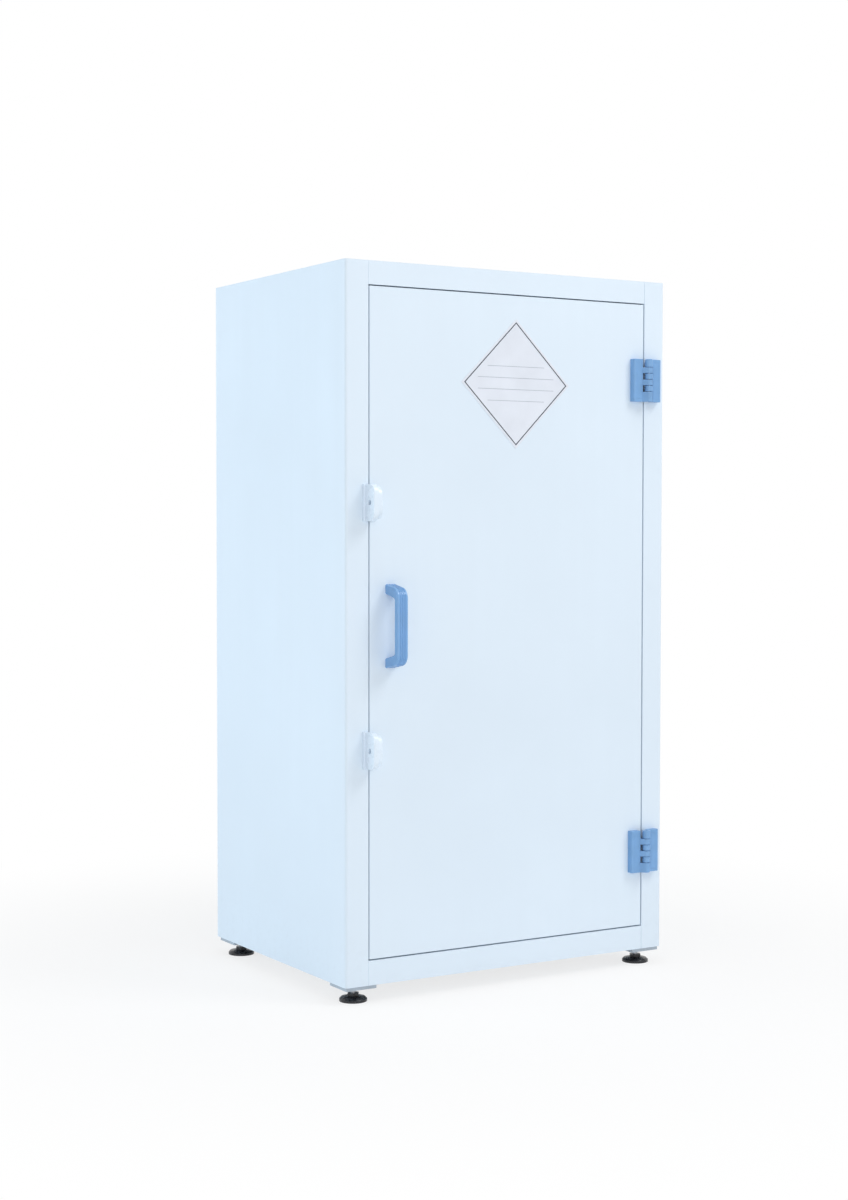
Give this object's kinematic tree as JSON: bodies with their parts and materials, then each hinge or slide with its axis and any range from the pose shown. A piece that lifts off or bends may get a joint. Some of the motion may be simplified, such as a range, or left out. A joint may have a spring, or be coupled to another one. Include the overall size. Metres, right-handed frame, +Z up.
{
  "type": "reagent cabinet",
  "caption": "Free-standing plastic reagent cabinet with a flush hinged door, bow handle, padlock lugs, inner spill trays and levelling feet.",
  "frame": {"origin": "on the floor under the middle of the overall footprint, handle included", "axes": "+Z up, -Y out of the door, +X to the right as one faces the door, where the hinges are"},
  "size_m": [0.6, 0.487, 1.1275],
  "materials": {
    "carcass_sheet": "satin white sheet with a cool tint",
    "door_sheet": "satin white sheet with a cool tint",
    "tray": "satin white plastic",
    "lug_white": "smooth white plastic",
    "hinge_blue": "moulded blue plastic, slightly mottled",
    "handle_blue": "moulded blue plastic with fine grooves",
    "label": "smooth white film with thin printed lines",
    "seal": "soft pale strip",
    "catch_housing": "moulded light plastic",
    "steel": "plain stainless steel",
    "pad_grey": "dull grey plastic",
    "foot_black": "black moulded plastic, soft sheen"
  },
  "bodies": {
    "carcass": {"back_panel": "carcass_sheet", "bottom_rail": "carcass_sheet", "door_seal": "seal", "door_stop_bottom": "carcass_sheet", "door_stop_left": "carcass_sheet", "door_stop_right": "carcass_sheet", "door_stop_top": "carcass_sheet", "floor_panel": "carcass_sheet", "foot_nuts": "steel", "foot_pad_back_left": "pad_grey", "foot_pad_back_right": "pad_grey", "foot_pad_front_left": "pad_grey", "foot_pad_front_right": "pad_grey", "frame_lug_lower": "lug_white", "frame_lug_upper": "lug_white", "hinge_lower_frame_cover": "hinge_blue", "hinge_lower_frame_leaf": "hinge_blue", "hinge_lower_frame_screws": "steel", "hinge_lower_pin": "hinge_blue", "hinge_upper_frame_cover": "hinge_blue", "hinge_upper_frame_leaf": "hinge_blue", "hinge_upper_frame_screws": "steel", "hinge_upper_pin": "hinge_blue", "magnetic_catches": "catch_housing", "shelf_ledges_left": "carcass_sheet", "shelf_ledges_right": "carcass_sheet", "shelf_tray_lower": "tray", "shelf_tray_upper": "tray", "side_shell_left": "carcass_sheet", "side_shell_right": "carcass_sheet", "sump_tray": "tray", "top_panel": "carcass_sheet", "top_rail": "carcass_sheet"},
    "door": {"catch_strikes": "steel", "door_core_rails": "door_sheet", "door_core_stiles": "door_sheet", "door_liner": "door_sheet", "door_lug_lower": "lug_white", "door_lug_upper": "lug_white", "door_skin": "door_sheet", "handle": "handle_blue", "handle_bolt_caps": "tray", "handle_bolts": "steel", "hinge_lower_door_cover": "hinge_blue", "hinge_lower_door_leaf": "hinge_blue", "hinge_lower_door_screws": "steel", "hinge_upper_door_cover": "hinge_blue", "hinge_upper_door_leaf": "hinge_blue", "hinge_upper_door_screws": "steel", "label_plate": "label"},
    "foot_front_left": {"foot_base_front_left": "foot_black", "foot_stem_front_left": "steel"},
    "foot_front_right": {"foot_base_front_right": "foot_black", "foot_stem_front_right": "steel"},
    "foot_back_left": {"foot_base_back_left": "foot_black", "foot_stem_back_left": "steel"},
    "foot_back_right": {"foot_base_back_right": "foot_black", "foot_stem_back_right": "steel"}
  },
  "joints": [
    {"name": "door_swing", "type": "hinge", "parent": "carcass", "child": "door", "pos_m": [0.259, -0.22, 0.5785], "axis": [0, 0, 1], "range_deg": [0, 180]},
    {"name": "level_front_left", "type": "slide", "parent": "carcass", "child": "foot_front_left", "axis": [0, 0, -1], "range_m": [-0.0025, 0.006]},
    {"name": "level_front_right", "type": "slide", "parent": "carcass", "child": "foot_front_right", "axis": [0, 0, -1], "range_m": [-0.0025, 0.006]},
    {"name": "level_back_left", "type": "slide", "parent": "carcass", "child": "foot_back_left", "axis": [0, 0, -1], "range_m": [-0.0025, 0.006]},
    {"name": "level_back_right", "type": "slide", "parent": "carcass", "child": "foot_back_right", "axis": [0, 0, -1], "range_m": [-0.0025, 0.006]}
  ]
}
